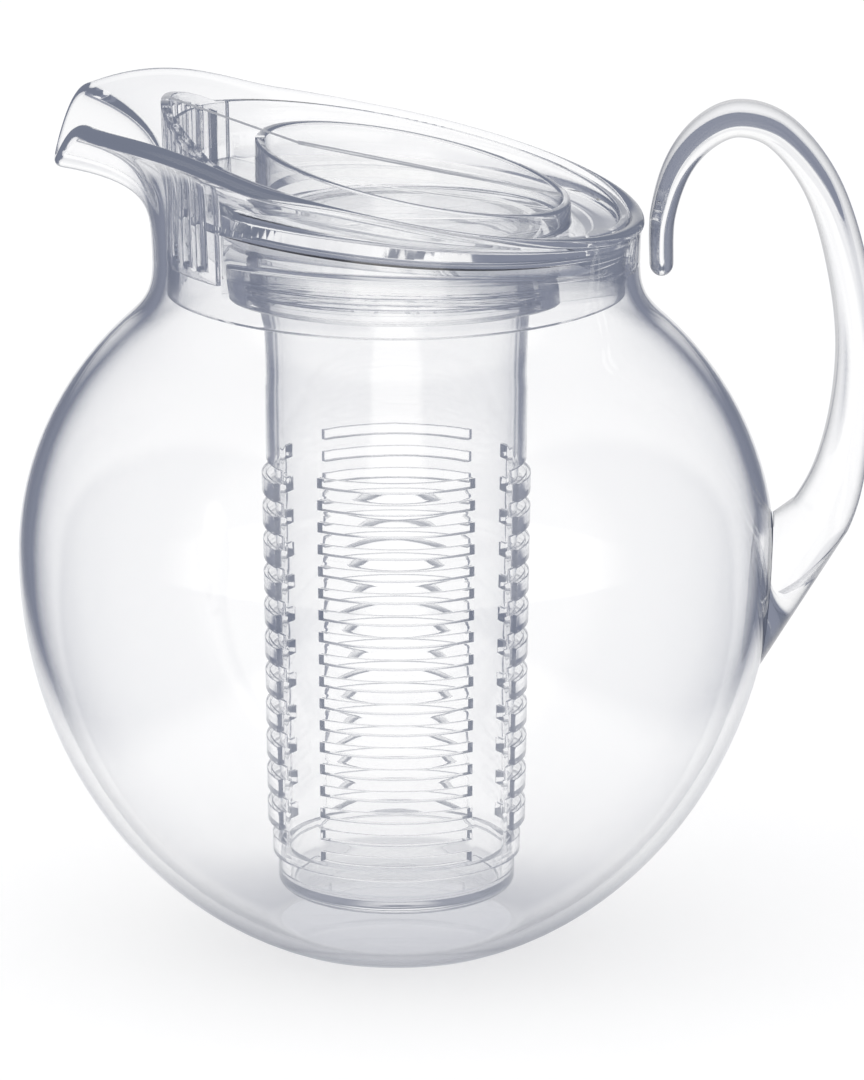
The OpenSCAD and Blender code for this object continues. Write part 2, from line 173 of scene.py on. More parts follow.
def srgb(code: str) -> tuple[float, float, float, float]:
    """Turns a hex colour into linear light with full alpha."""
    values = [int(code[i : i + 2], 16) / 255 for i in (1, 3, 5)]
    linear = [v / 12.92 if v <= 0.04045 else ((v + 0.055) / 1.055) ** 2.4 for v in values]
    return (linear[0], linear[1], linear[2], 1.0)


class Shading:
    """A node tree that starts empty, and the kinds of nodes that the looks are made of."""

    def __init__(self, owner: bpy.types.Material | bpy.types.World) -> None:
        """Empties the node tree of a material or of the world."""
        owner.use_nodes = True
        self.tree = owner.node_tree
        self.tree.nodes.clear()

    def add(
        self, kind: str, inputs: dict[str | int, object] | None = None, **settings: object
    ) -> bpy.types.Node:
        """Adds a node.

        Args:
            kind: The node's type, without the words that all types start with.
            inputs: What each input gets, by name or number: a socket to link, or a value.
            **settings: Values of the node's own properties.

        Returns:
            The node.
        """
        node = self.tree.nodes.new("ShaderNode" + kind)
        for name, value in settings.items():
            setattr(node, name, value)
        for name, value in (inputs or {}).items():
            if isinstance(value, bpy.types.NodeSocket):
                self.tree.links.new(value, node.inputs[name])
            else:
                node.inputs[name].default_value = value
        return node

    def calc(self, operation: str, *values: Figure) -> bpy.types.NodeSocket:
        """Gives what an operation makes of some values."""
        return self.add("Math", dict(enumerate(values)), operation=operation).outputs[0]

    def greatest(self, *values: bpy.types.NodeSocket) -> bpy.types.NodeSocket:
        """Gives the greatest of several values."""
        top = values[0]
        for value in values[1:]:
            top = self.calc("MAXIMUM", top, value)
        return top

    def ramp(
        self, value: Figure, start: float, end: float, low: float = 0, high: Figure = 1, soft: bool = True
    ) -> bpy.types.NodeSocket:
        """Gives a figure that runs from low to high, softly or evenly, as a value runs from start to end."""
        names = ("Value", "From Min", "From Max", "To Min", "To Max")
        inputs = dict(zip(names, (value, start, end, low, high)))
        kind = "SMOOTHSTEP" if soft else "LINEAR"
        return self.add("MapRange", inputs, interpolation_type=kind).outputs["Result"]

    def blend(self, share: bpy.types.NodeSocket, a: object, b: object) -> bpy.types.NodeSocket:
        """Gives the colour that lies a share of the way from a to b."""
        return self.add("Mix", {"Factor": share, "A": a, "B": b}, data_type="RGBA").outputs["Result"]

    def cover(
        self, share: bpy.types.NodeSocket, a: bpy.types.NodeSocket, b: bpy.types.NodeSocket
    ) -> bpy.types.NodeSocket:
        """Gives the look a, covered by the look b by a share."""
        return self.add("MixShader", {0: share, 1: a, 2: b}).outputs[0]

    def glow(self, code: str, strength: Figure = 1) -> bpy.types.NodeSocket:
        """Gives the look of something that shines in a colour."""
        return self.add("Emission", {"Color": srgb(code), "Strength": strength}).outputs[0]


@dataclass(frozen=True)
class ClearAcrylic:
    """Clear acrylic, polished by its mould: bright and sharp, with slow waves and a cool edge.

    Square on it has no colour. Where it is seen along its surface it turns to a cool grey: partly its own
    tint, as the light crosses far more of it there, and partly painted shade that stands in for the dim
    surroundings that its edges show.
    """

    name: str
    middle: str = "#FFFFFF"
    # The edge's grey: the acrylic's own tint, deepened with painted shade
    edge: str = "#565D70"
    # How steeply a surface is seen where the edge's colour sets in, and where it is full
    edge_from: float = 0.66
    edge_full: float = 0.96
    roughness: float = 0.015
    ior: float = 1.49
    # Width and height of the waves that moulding leaves
    wave_mm: float = 26.0
    wave_high_mm: float = 0.06
    # Width of the patches that handling has dulled a little
    scuff_mm: float = 9.0
    scuff_roughness: float = 0.035
    # Light that passes on to what stands behind
    shadow: str = "#FBFBFC"
    # A ray caught in a wall is cut off after so many reflections or crossings, and there the wall glows in
    # this grey: painted light that stands in for the dim room the ray would have reached
    reflections: int = 3
    crossings: int = 36
    spent_glow: str = "#747A8A"

    def material(self) -> bpy.types.Material:
        """Builds the material.

        Returns:
            The material, with its patterns in object space.
        """
        mat = bpy.data.materials.new(self.name)
        nodes = Shading(mat)
        place = nodes.add("TexCoord").outputs["Object"]
        patterns = []
        for width, detail, rough in ((self.wave_mm, 1.0, 0.4), (self.scuff_mm, 4.0, 0.6)):
            noise = {"Vector": place, "Scale": 1 / (width * MM), "Detail": detail, "Roughness": rough}
            patterns.append(nodes.add("TexNoise", noise).outputs["Fac"])
        waves, scuffs = patterns
        bump = nodes.add("Bump", {"Height": waves, "Strength": 1.0, "Distance": self.wave_high_mm * MM})
        # Painted shade in part: the colour runs to the edge's grey where a surface is seen steeply
        facing = nodes.add("LayerWeight", {"Blend": 0.5}).outputs["Facing"]
        late = nodes.ramp(facing, self.edge_from, self.edge_full)
        looks = {
            "Base Color": nodes.blend(late, srgb(self.middle), srgb(self.edge)),
            "Roughness": nodes.ramp(scuffs, 0.5, 0.8, self.roughness, self.scuff_roughness, soft=False),
            "IOR": self.ior,
            "Transmission Weight": 1.0,
            "Normal": bump.outputs["Normal"],
        }
        acrylic = nodes.add("BsdfPrincipled", looks).outputs[0]
        through = nodes.add("BsdfTransparent", {"Color": srgb(self.shadow)}).outputs[0]
        path = nodes.add("LightPath").outputs
        # Painted light: past these limits the wall glows grey instead of showing the room
        limits = (("Glossy Depth", self.reflections), ("Ray Depth", self.crossings))
        over = nodes.greatest(*(nodes.calc("GREATER_THAN", path[name], most) for name, most in limits))
        caught = nodes.cover(over, acrylic, nodes.glow(self.spent_glow))
        seen = nodes.cover(path["Is Shadow Ray"], caught, through)
        nodes.add("OutputMaterial", {"Surface": seen})
        return mat


def fresh(name: str, add: Callable[..., set[str]], **settings: object) -> bpy.types.Object:
    """Adds a primitive with nothing else selected.

    Args:
        name: The piece's name.
        add: The operator that adds the primitive.
        **settings: The operator's settings.

    Returns:
        The new object.
    """
    bpy.ops.object.select_all(action="DESELECT")
    add(**settings)
    piece = bpy.context.object
    piece.name = name
    piece.data.name = name
    return piece


def edit(piece: bpy.types.Object) -> None:
    """Goes into edit mode on one piece, with all of its points selected."""
    bpy.ops.object.select_all(action="DESELECT")
    piece.select_set(True)
    bpy.context.view_layer.objects.active = piece
    bpy.ops.object.mode_set(mode="EDIT")
    bpy.ops.mesh.select_mode(type="VERT")
    bpy.ops.mesh.select_all(action="SELECT")


def leave_edit() -> None:
    """Goes back to object mode."""
    bpy.ops.object.mode_set(mode="OBJECT")


def tidy(piece: bpy.types.Object) -> None:
    """Welds a piece's doubled points and turns its faces outwards."""
    edit(piece)
    bpy.ops.mesh.remove_doubles(threshold=WELD_MM * MM)
    bpy.ops.mesh.select_all(action="SELECT")
    bpy.ops.mesh.normals_make_consistent(inside=False)
    leave_edit()


def apply_modifier(piece: bpy.types.Object, kind: str, **settings: object) -> None:
    """Adds a modifier to a piece and applies it.

    Args:
        piece: The piece.
        kind: The modifier's type.
        **settings: The modifier's settings.
    """
    modifier = piece.modifiers.new(kind.title(), kind)
    for name, value in settings.items():
        setattr(modifier, name, value)
    bpy.context.view_layer.objects.active = piece
    bpy.ops.object.modifier_apply(modifier=modifier.name)


def round_edges(piece: bpy.types.Object, width_mm: float, angle: float = 38) -> None:
    """Rounds a piece's sharp edges.

    Args:
        piece: The piece.
        width_mm: Width of the rounding on each side of an edge.
        angle: Edges that bend by less than this stay as they are, in degrees.
    """
    apply_modifier(
        piece,
        "BEVEL",
        width=width_mm * MM,
        segments=2,
        limit_method="ANGLE",
        angle_limit=math.radians(angle),
        use_clamp_overlap=True,
    )


def smooth(piece: bpy.types.Object, angle: float = 35) -> None:
    """Shades a piece smooth, with flat walls kept true right up to their rounded edges.

    Args:
        piece: The piece.
        angle: Edges that bend by more than this stay sharp, in degrees.
    """
    bpy.ops.object.select_all(action="DESELECT")
    piece.select_set(True)
    bpy.context.view_layer.objects.active = piece
    bpy.ops.object.shade_smooth_by_angle(angle=math.radians(angle))
    apply_modifier(piece, "WEIGHTED_NORMAL", mode="FACE_AREA", weight=100, keep_sharp=True)


def combine(piece: bpy.types.Object, tool: bpy.types.Object, operation: str) -> None:
    """Cuts a piece by another or joins them, and removes the other.

    Args:
        piece: The piece that stays.
        tool: The object that cuts it or is joined to it.
        operation: DIFFERENCE or UNION.
    """
    apply_modifier(piece, "BOOLEAN", operation=operation, solver="EXACT", object=tool)
    bpy.data.objects.remove(tool)


def move_points(piece: bpy.types.Object, mover: Callable[[Vector], Vector]) -> None:
    """Moves each point of a piece.

    Args:
        piece: The piece.
        mover: Gives a point's new place from its old one, both in millimetres.
    """
    for vertex in piece.data.vertices:
        vertex.co = mover(vertex.co / MM) * MM


def ringed(name: str, rings: Sequence[Sequence[Vector]]) -> bpy.types.Object:
    """Extrudes a round face ring by ring and sets each ring to its section.

    Args:
        name: The piece's name.
        rings: The sections in order, each with as many points, in millimetres.

    Returns:
        The closed piece.
    """
    sides = len(rings[0])
    piece = fresh(name, bpy.ops.mesh.primitive_circle_add, vertices=sides, radius=1, fill_type="NGON")
    edit(piece)
    for _ in rings[1:]:
        bpy.ops.mesh.extrude_region_move(TRANSFORM_OT_translate={"value": (0, 0, 1)})
    leave_edit()
    for vertex in piece.data.vertices:
        turn = math.atan2(vertex.co.y, vertex.co.x) / math.tau
        vertex.co = rings[round(vertex.co.z)][round(turn * sides) % sides] * MM
    tidy(piece)
    return piece


def drawn(name: str, outline: Sequence[Vector], closed: bool) -> bpy.types.Object:
    """Draws an outline by extruding one point.

    Args:
        name: The piece's name.
        outline: The points in order, in millimetres, in space.
        closed: Whether the last point is joined to the first.

    Returns:
        The piece, in edit mode with all of it selected.
    """
    piece = fresh(name, bpy.ops.mesh.primitive_plane_add, size=MM)
    edit(piece)
    bpy.ops.mesh.merge(type="CENTER")
    bpy.ops.transform.translate(value=outline[0] * MM)
    for here, there in zip(outline, outline[1:]):
        bpy.ops.mesh.extrude_region_move(TRANSFORM_OT_translate={"value": (there - here) * MM})
    if closed:
        bpy.ops.mesh.select_all(action="DESELECT")
        leave_edit()
        ends = (0, len(outline) - 1)
        for vertex in piece.data.vertices:
            vertex.select = vertex.index in ends
        bpy.ops.object.mode_set(mode="EDIT")
        bpy.ops.mesh.edge_face_add()
    bpy.ops.mesh.select_all(action="SELECT")
    return piece


def revolved(name: str, profile: Sequence[Vector], closed: bool, steps: int = 160) -> bpy.types.Object:
    """Spins a profile round the axis.

    Args:
        name: The piece's name.
        profile: The points in order, as radius and height in millimetres.
        closed: Whether the last point is joined to the first. An open profile starts and ends on the axis.
        steps: Steps round the axis.

    Returns:
        The closed piece.
    """
    piece = drawn(name, [Vector((p[0], 0, p[1])) for p in profile], closed)
    bpy.ops.mesh.spin(steps=steps, angle=math.tau, center=(0, 0, 0), axis=(0, 0, 1))
    leave_edit()
    tidy(piece)
    return piece


def upright_plate(name: str, outline: Sequence[Sequence[float]], thick: float) -> bpy.types.Object:
    """Makes an upright plate in the middle plane.

    Args:
        name: The piece's name.
        outline: Its outline from the side, as places along X and heights in millimetres.
        thick: Its thickness.

    Returns:
        The closed piece.
    """
    piece = drawn(name, [Vector((x, -thick / 2, z)) for x, z in outline], True)
    bpy.ops.mesh.edge_face_add()
    bpy.ops.mesh.extrude_region_move(TRANSFORM_OT_translate={"value": (0, thick * MM, 0)})
    leave_edit()
    tidy(piece)
    return piece


@dataclass
class Lattice:
    """A wall with openings, made flat from a grid and then wrapped round its axis.

    Attributes:
        across: Places of the grid's lines round the axis, in degrees.
        up: Places of its lines up the wall, from 0 upwards, in any unit that wrap understands.
        thick: The wall's thickness.
        is_open: Says whether a cell is an opening, from its middle.
        wrap: Gives a place in space from a place across, a place up and a depth.
        is_rib: Says whether a cell carries a rib, from its middle.
        rib_out: How far a rib stands out.
    """

    across: Sequence[float]
    up: Sequence[float]
    thick: float
    is_open: Callable[[float, float], bool]
    wrap: Callable[[float, float, float], Vector]
    is_rib: Callable[[float, float], bool] | None = None
    rib_out: float = 0.0
    # A face that leans by less is part of the wall's outside
    lean: float = 45.0
    # How far up a rib's round its first step ends
    rib_angle: float = 50.0

    def build(self, name: str, round_mm: float) -> bpy.types.Object:
        """Builds the wall.

        Args:
            name: The piece's name.
            round_mm: Width of the rounding of its edges.

        Returns:
            The closed piece.
        """
        piece = fresh(
            name,
            bpy.ops.mesh.primitive_grid_add,
            x_subdivisions=len(self.across) - 1,
            y_subdivisions=len(self.up) - 1,
            size=2,
        )
        self._space(piece)
        self._drop(piece, lambda c: self.is_open(c.x, c.y))
        apply_modifier(piece, "SOLIDIFY", thickness=self.thick, offset=-1)
        if self.is_rib:
            self._raise_ribs(piece)
        closed = self.across[-1] - self.across[0] >= TURN
        if closed:
            ends = (self.across[0], self.across[-1])
            self._drop(piece, lambda c: min(abs(c.x - e) for e in ends) < WELD_MM)
        for vertex in piece.data.vertices:
            vertex.co = self.wrap(*vertex.co) * MM
        tidy(piece)
        if round_mm:
            round_edges(piece, round_mm)
        smooth(piece)
        return piece

    def _space(self, piece: bpy.types.Object) -> None:
        """Moves an even grid's lines to their own places."""
        for vertex in piece.data.vertices:
            i = round((vertex.co.x + 1) / 2 * (len(self.across) - 1))
            j = round((vertex.co.y + 1) / 2 * (len(self.up) - 1))
            vertex.co = Vector((self.across[i], self.up[j], 0))

    def _drop(self, piece: bpy.types.Object, is_dropped: Callable[[Vector], bool]) -> None:
        """Deletes the faces whose middle is_dropped picks."""
        edit(piece)
        bpy.ops.mesh.select_mode(type="FACE")
        bpy.ops.mesh.select_all(action="DESELECT")
        leave_edit()
        for face in piece.data.polygons:
            face.select = is_dropped(face.center)
        bpy.ops.object.mode_set(mode="EDIT")
        bpy.ops.mesh.delete(type="FACE")
        leave_edit()

    def _raise_ribs(self, piece: bpy.types.Object) -> None:
        """Raises the ribs out of the wall's outer face in two steps."""
        edit(piece)
        bpy.ops.mesh.select_mode(type="FACE")
        bpy.ops.mesh.select_all(action="DESELECT")
        leave_edit()
        for face in piece.data.polygons:
            is_outside = face.center.z > -WELD_MM and face.normal.z > cos(self.lean)
            face.select = is_outside and self.is_rib(*face.center[:2])
        bpy.ops.object.mode_set(mode="EDIT")
        for share in (sin(self.rib_angle), 1 - sin(self.rib_angle)):
            bpy.ops.mesh.extrude_region_move(TRANSFORM_OT_translate={"value": (0, 0, self.rib_out * share)})
        leave_edit()


@dataclass
class Jug:
    """The globe with its neck, rolled rim and spout, and the hook handle bonded to it.

    The globe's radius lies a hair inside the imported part's facets.
    """

    # The globe: its widest radius and that place's height, its lower and upper half's heights, and its wall
    globe_r: float = 90.2
    globe_z: float = 95.7
    globe_low: float = 100.8
    globe_high: float = 79.9
    shoulder_angle: float = 44
    wall: float = 3.2
    floor_t: float = 4
    # The neck, from its narrowest place up to the slanted rim
    neck_r: float = 58
    shoulder_rise: float = 15.8
    neck_h: float = 23.2
    neck_draft: float = 2.3
    rim_tilt: float = 11.6
    bead_t: float = 3.8
    # How far the spout stands out, its lip droops and its cheeks arch, and over what angles
    spout_out: float = 20.6
    lip_droop: float = 12.2
    lip_arch: float = 2.4
    droop_angle: float = 17
    arch_angle: float = 38
    arch_half_angle: float = 24
    # How late up the neck it spreads into the spout, and swells into the bead
    spread_power: float = 5
    bead_power: float = 8
    # Where the shoulder's curve bends, and how much closer the sections stand at the spout
    shoulder_share: float = 0.85
    turn_share: float = 0.4
    crowd_share: float = 0.45
    # Steps from the spout to the handle, up the four stretches of the outline, and round the bead
    half_steps: int = 150
    steps: tuple[int, int, int, int] = (24, 14, 12, 26)
    bead_steps: int = 16
    # Blown, so its waves are long, and its steep edges grey with its own tint and with painted shade
    finish: ClearAcrylic = ClearAcrylic("blown_acrylic")

    @property
    def waist_z(self) -> float:
        """Height of the neck's narrowest place."""
        return self.globe_z + self.globe_high * sin(self.shoulder_angle) + self.shoulder_rise

    @property
    def rim_z(self) -> float:
        """Height of the rim on the axis."""
        return self.waist_z + self.neck_h

    @property
    def rim_r(self) -> float:
        """Radius of the rim away from the spout."""
        return self.neck_r + self.neck_h * tan(self.neck_draft)

    @property
    def spout_r(self) -> float:
        """Reach of the spout from the axis."""
        return self.rim_r + self.spout_out

    def rim_plane(self, x: float) -> float:
        """Height of the rim's slanted plane."""
        return self.rim_z - x * tan(self.rim_tilt)

    def rim_outline(self, a: float) -> float:
        """Radius of the rim.

        Args:
            a: Angle from the spout, in degrees.

        Returns:
            The radius of the wall's outside at the rim.
        """
        if a >= QUARTER_TURN:
            rise = self.rim_plane(-self.rim_r * cos(a)) - self.waist_z
            return self.neck_r + rise * tan(self.neck_draft)
        return self.spout_r * self.rim_r / math.hypot(self.rim_r * cos(a), self.spout_r * sin(a))

    def edge(self, a: float) -> Vector:
        """The wall's upper end, under the rolled rim.

        Args:
            a: Angle from the spout, in degrees.

        Returns:
            Its radius and height.
        """
        r = self.rim_outline(a)
        droop = self.lip_droop * hump(a, 0, self.droop_angle)
        droop -= self.lip_arch * hump(a, self.arch_angle, self.arch_half_angle)
        share = max(0, (r - self.rim_r) / self.spout_out)
        return Vector((r, self.rim_plane(-r * cos(a)) - droop - self.bead_t * (1 + share) / 2))

    def outer(self, edge: Vector, u: float) -> Vector:
        """A point on the outside.

        Args:
            edge: The wall's upper end at this angle.
            u: The place up the outline: 1 is the globe's widest place, 2 the shoulder, 3 the neck, 4 the rim.

        Returns:
            Its radius and height.
        """
        if u <= 1:
            t = mix(math.degrees(math.acos(self.globe_z / self.globe_low)), QUARTER_TURN, u)
            return Vector((self.globe_r * sin(t), self.globe_z - self.globe_low * cos(t)))
        if u <= 2:
            return self._high_point(u - 1)
        if u <= 3:
            start = self._high_point(1)
            way = Vector((1, -self.globe_high / (self.globe_r * tan(self.shoulder_angle))))
            bend = start + way * (self.neck_r - start.x) * self.shoulder_share
            turn = Vector((self.neck_r, mix(bend.y, self.waist_z, self.turn_share)))
            return bezier([start, bend, turn, Vector((self.neck_r, self.waist_z))], u - 2)
        z = mix(self.waist_z, edge.y, u - 3)
        spread = edge.x - self.neck_r - (edge.y - self.waist_z) * tan(self.neck_draft)
        neck = self.neck_r + (z - self.waist_z) * tan(self.neck_draft)
        return Vector((neck + spread * (u - 3) ** self.spread_power, z))

    def _high_point(self, s: float) -> Vector:
        """A point on the globe's upper half, at a share of the way to the shoulder."""
        t = self.shoulder_angle * s
        return Vector((self.globe_r * cos(t), self.globe_z + self.globe_high * sin(t)))

    def section(self, a: float) -> list[Vector]:
        """The whole wall's section at one angle, from the base's outside over the rim to the floor's inside.

        Args:
            a: Angle from the spout, in degrees.

        Returns:
            The points, as radius and height.
        """
        edge = self.edge(a)
        stations = [k + i / n for k, n in enumerate(self.steps) for i in range(n)] + [4]
        outside, inside = [], []
        for u in stations:
            p = self.outer(edge, u)
            along = (self.outer(edge, min(4, u + STEP)) - self.outer(edge, max(0, u - STEP))).normalized()
            outward = Vector((along.y, -along.x))
            q = p - outward * self.wall
            inside.append(Vector((q.x, max(q.y, self.floor_t))))
            p += outward * (self.bead_t - self.wall) * max(0, u - 3) ** self.bead_power
            outside.append(p)
        centre = p - outward * self.bead_t / 2
        turns = [HALF_TURN * i / self.bead_steps for i in range(1, self.bead_steps)]
        bead = [centre + (outward * cos(t) + along * sin(t)) * self.bead_t / 2 for t in turns]
        return outside + bead + inside[::-1]

    def build(self) -> list[bpy.types.Object]:
        """Builds the shell.

        Returns:
            The one piece.
        """
        shares = [i / self.half_steps for i in range(self.half_steps + 1)]
        half = [HALF_TURN * s * mix(1, s, self.crowd_share) for s in shares]
        angles = half + [-a for a in half[-2:0:-1]]
        sections = [self.section(a) for a in half]
        sections += sections[-2:0:-1]
        rings = [[around(-p.x, a, p.y) for a, p in zip(angles, ring)] for ring in zip(*sections)]
        shell = ringed("jug_shell", rings)
        smooth(shell)
        return [dress(shell, self.finish, Body.JUG, Slot.BODY, "jug_body")]


@dataclass
class Handle:
    """The cast hook: an oval bar, thin at its free end and thick at the root that is bonded to the globe."""

    jug: Jug
    # How far the bar's middle reaches past the globe, above the rim and below the globe's widest place
    handle_out: float = 19.2
    handle_rise: float = 11.3
    root_drop: float = 11.5
    # Its thickness and breadth, and its clearance from the bead and from the globe
    handle_t: float = 10
    handle_b: float = 20
    leg_gap: float = 0.6
    bond_gap: float = 0.05
    tip_share: float = 0.58
    # Across from the free leg to the furthest reach, up from the root to the arch, thickness and breadth.
    # In the second table, across runs from the globe's widest radius to the furthest reach.
    bar_shares: tuple[tuple[float, float, float, float], ...] = (
        (0, 0.7, 0.58, 0.7),
        (0.006, 0.8, 0.62, 0.75),
        (0.085, 0.902, 0.7, 0.8),
        (0.226, 0.972, 0.8, 0.84),
        (0.403, 1, 0.86, 0.86),
        (0.616, 0.968, 0.88, 0.88),
        (0.825, 0.857, 0.92, 0.92),
        (0.953, 0.691, 0.98, 0.96),
        (1, 0.513, 1, 1),
    )
    root_shares: tuple[tuple[float, float, float, float], ...] = (
        (0.88, 0.326, 1.14, 1.08),
        (0.583, 0.175, 1.5, 1.2),
        (-0.17, 0, 1.9, 1.4),
    )
    # Rings that close the root's face, as shares of its size
    face_shares: tuple[float, ...] = (0.75, 0.5, 0.25, 0.1)
    sides: int = 48
    bar_steps: int = 10
    root_steps: int = 14
    tip_steps: int = 8
    # Edges that bend by more stay sharp, such as the one where the root meets the globe
    sharp_angle: float = 60
    # Cast solid and thick, so its flanks are deeper in tone than a wall's: its own tint, darkened further by
    # painted shade that stands in for the dim surroundings
    finish: ClearAcrylic = ClearAcrylic("cast_acrylic", wave_mm=18.0, edge="#202636", edge_from=0.4)

    def _points(self) -> list[Vector]:
        """The bar's places: across, up, thickness and breadth."""
        jug = self.jug
        leg_x = jug.rim_r + jug.bead_t - jug.wall + self.leg_gap + self.handle_t * self.tip_share / 2
        reach_x = jug.globe_r + self.handle_out
        root_z = jug.globe_z - self.root_drop
        arch_z = jug.rim_z + self.handle_rise
        return [
            Vector((mix(start, reach_x, a), mix(root_z, arch_z, b), self.handle_t * c, self.handle_b * d))
            for start, table in ((leg_x, self.bar_shares), (jug.globe_r, self.root_shares))
            for a, b, c, d in table
        ]

    def bar_at(self, points: Sequence[Vector], u: float) -> Vector:
        """A place on the smooth curve through the points.

        Args:
            points: The bar's places.
            u: The place along, 1 from each point to the next.

        Returns:
            Across, up, thickness and breadth.
        """
        i = min(len(points) - 2, int(u))
        s = u - i
        p0, p1, p2, p3 = (points[max(0, min(len(points) - 1, k))] for k in range(i - 1, i + 3))
        square = (2 * p0 - 5 * p1 + 4 * p2 - p3) * s**2
        cube = (3 * p1 - p0 - 3 * p2 + p3) * s**3
        return (2 * p1 + (p2 - p0) * s + square + cube) / 2

    def _ring(
        self, points: Sequence[Vector], u: float, share: float = 1, move: float = 0
    ) -> tuple[list[Vector], Vector]:
        """One oval section.

        Args:
            points: The bar's places.
            u: The place along.
            share: How much the section is shrunk.
            move: How far it is moved along the bar.

        Returns:
            The section's points and the bar's way there.
        """
        last = len(points) - 1
        here = self.bar_at(points, u)
        step = self.bar_at(points, min(last, u + STEP)) - self.bar_at(points, max(0, u - STEP))
        way = Vector((step[0], 0, step[1])).normalized()
        side = Vector((way.z, 0, -way.x))
        centre = Vector((here[0], 0, here[1])) + way * move
        ring = []
        for i in range(self.sides):
            t = TURN * i / self.sides
            across = Vector((0, here[3] / 2 * share * sin(t), 0))
            ring.append(centre + side * (here[2] / 2 * share * cos(t)) + across)
        return ring, way

    def _seat(self, p: Vector, way: Vector) -> Vector:
        """Carries a point along a way until it meets the globe."""
        rx, rz = self.jug.globe_r + self.bond_gap, self.jug.globe_low + self.bond_gap
        a = (way.x / rx) ** 2 + (way.z / rz) ** 2
        b = p.x * way.x / rx**2 + (p.z - self.jug.globe_z) * way.z / rz**2
        c = (p.x**2 + p.y**2) / rx**2 + ((p.z - self.jug.globe_z) / rz) ** 2 - 1
        return p + way * ((-b - math.sqrt(b * b - a * c)) / a)

    def build(self) -> list[bpy.types.Object]:
        """Builds the bar.

        Returns:
            The one piece.
        """
        points = self._points()
        last = len(points) - 2
        tip_r = points[0][2] / 2
        rings = []
        for i in range(1, self.tip_steps + 1):
            t = QUARTER_TURN * i / (self.tip_steps + 1)
            rings.append(self._ring(points, 0, sin(t), -tip_r * cos(t))[0])
        rings += [self._ring(points, i / self.bar_steps)[0] for i in range(last * self.bar_steps + 1)]
        straight = rings[-1]
        end, way = self._ring(points, last + 1)
        root = [self._seat(p, way) for p in end]
        for i in range(1, self.root_steps + 1):
            rings.append([mix(p, q, i / self.root_steps) for p, q in zip(straight, root)])
        for share in self.face_shares:
            rings.append([self._seat(p, way) for p in self._ring(points, last + 1, share)[0]])
        bar = ringed("handle_bar", rings)
        smooth(bar, self.sharp_angle)
        return [dress(bar, self.finish, Body.JUG, Slot.BODY, "handle")]


